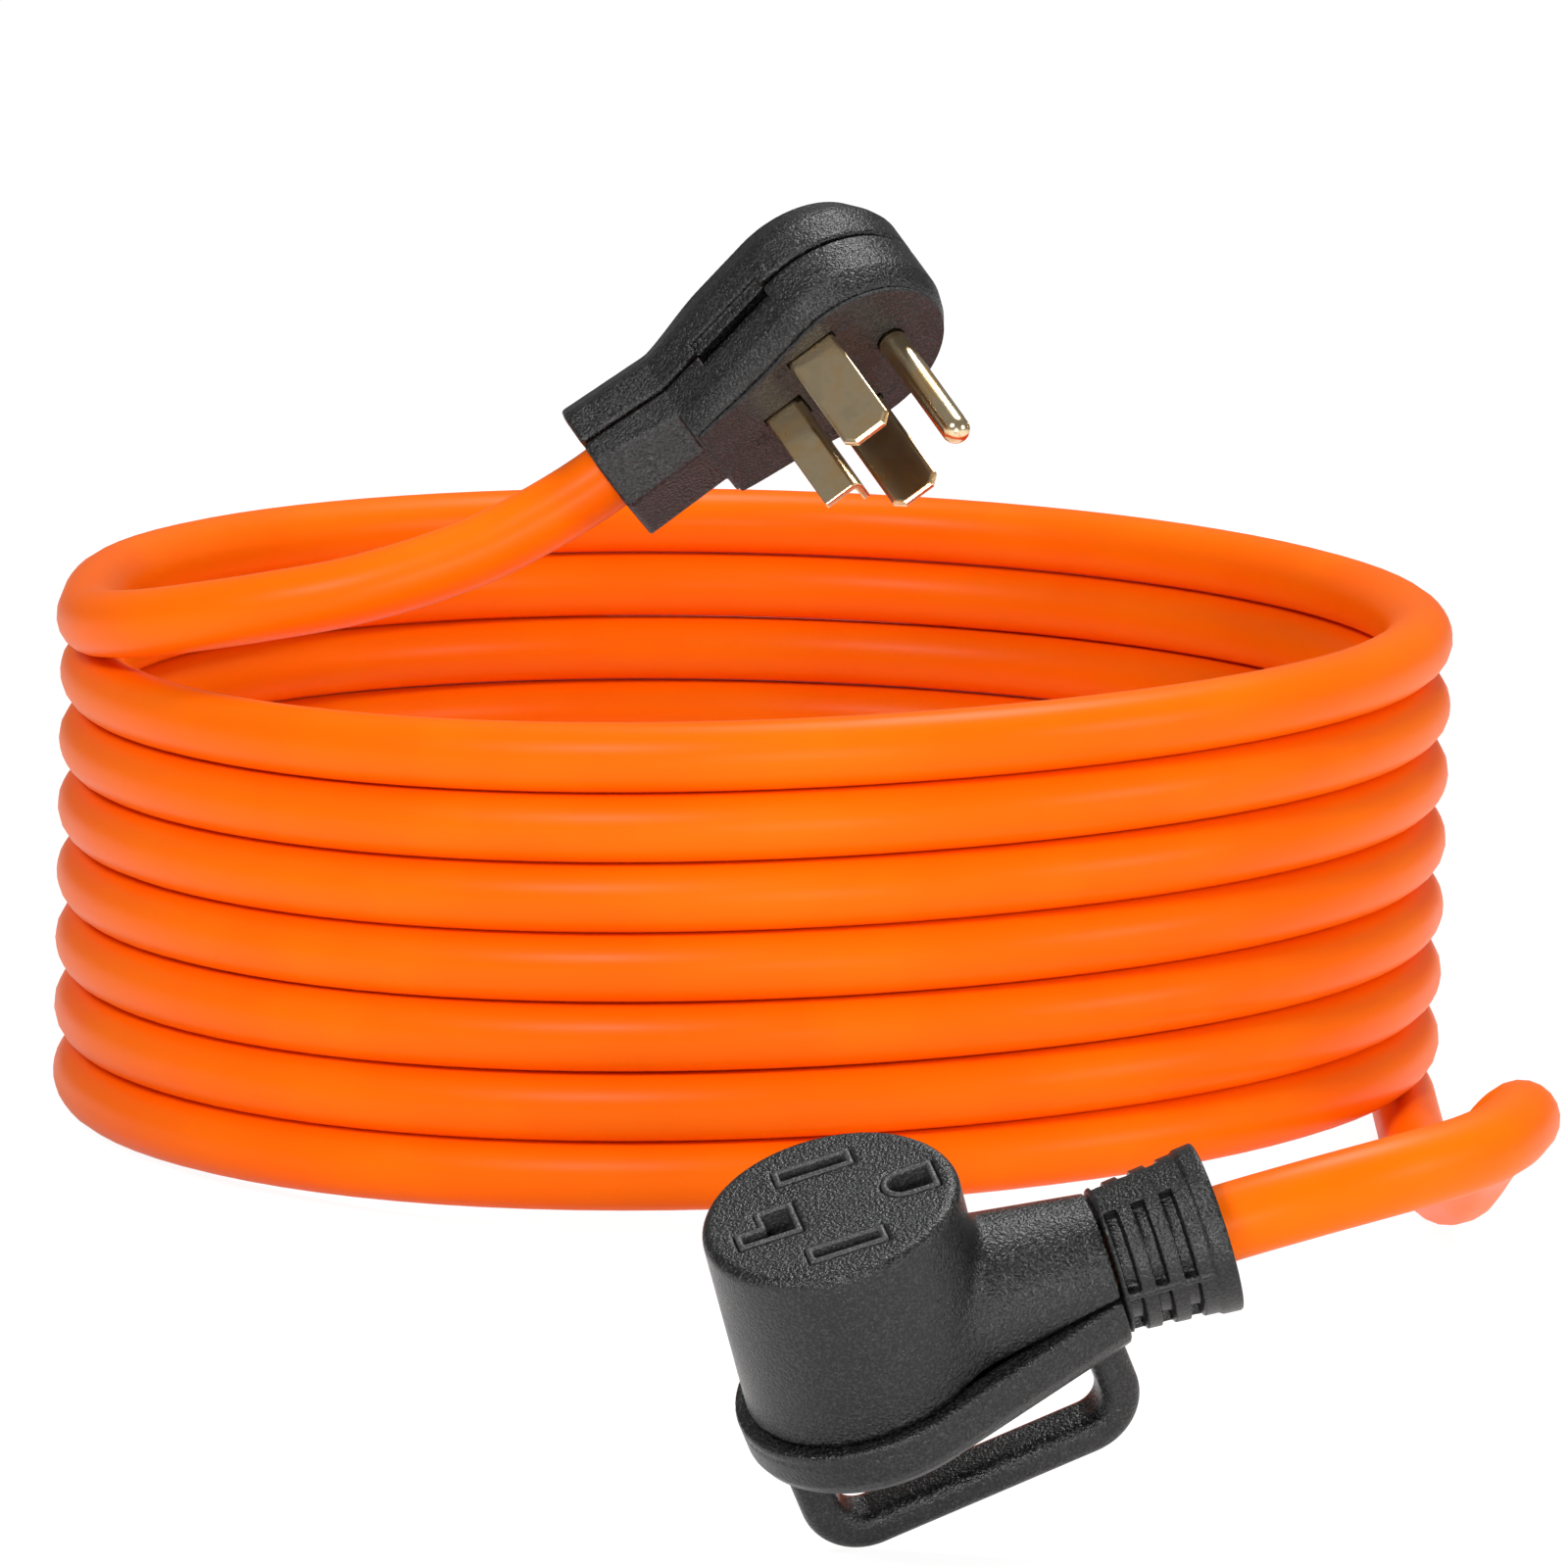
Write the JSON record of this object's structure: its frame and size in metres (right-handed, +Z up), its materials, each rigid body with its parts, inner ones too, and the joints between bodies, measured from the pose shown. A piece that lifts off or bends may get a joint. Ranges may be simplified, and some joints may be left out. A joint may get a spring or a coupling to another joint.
{
  "type": "shore power cord",
  "caption": "Thick orange four-wire power cord wound in a tall round coil, with a black right-angle blade plug at one end and a right-angle socket connector with a pull handle at the other",
  "frame": {"origin": "middle of the plug's and the connector's common box, on the floor that the coil and the connector's handle stand on", "axes": "+Z up, the coil's axis upright; -Y towards the connector, in front of the coil; +X to the right as seen from the connector"},
  "size_m": [0.3544, 0.7251, 0.242],
  "materials": {
    "orange_jacket": "smooth, slightly glossy vinyl jacket",
    "black_plastic": "fine-grained moulded black vinyl",
    "dark_grey_plastic": "hard moulded, satin",
    "black_rubber": "flexible moulded vinyl, satin",
    "brass": "bright rolled sheet and turned bar",
    "tinned_steel": "plain",
    "black_insulation": "plain wire insulation",
    "red_insulation": "plain wire insulation",
    "white_insulation": "plain wire insulation",
    "green_insulation": "plain wire insulation"
  },
  "bodies": {
    "root": {"cord_coil": "orange_jacket", "cord_plug_tail": "orange_jacket", "cord_connector_tail": "orange_jacket", "plug_back_shell": "black_plastic", "plug_front_shell": "black_plastic", "plug_blade_plate": "dark_grey_plastic", "line_blade_x": "brass", "line_blade_y": "brass", "neutral_blade": "brass", "ground_pin": "brass", "plug_crimps": "tinned_steel", "plug_wire_black": "black_insulation", "plug_wire_red": "red_insulation", "plug_wire_white": "white_insulation", "plug_wire_green": "green_insulation", "plug_cord_root": "orange_jacket", "connector_housing": "black_plastic", "connector_back_cover": "black_plastic", "connector_pull_handle": "black_plastic", "connector_strain_relief": "black_rubber", "connector_socket_block": "dark_grey_plastic", "line_contact_x": "brass", "line_contact_y": "brass", "neutral_contact": "brass", "ground_contact": "brass", "connector_crimps": "tinned_steel", "connector_wire_black": "black_insulation", "connector_wire_red": "red_insulation", "connector_wire_white": "white_insulation", "connector_wire_green": "green_insulation", "connector_cord_root": "orange_jacket"}
  },
  "joints": []
}
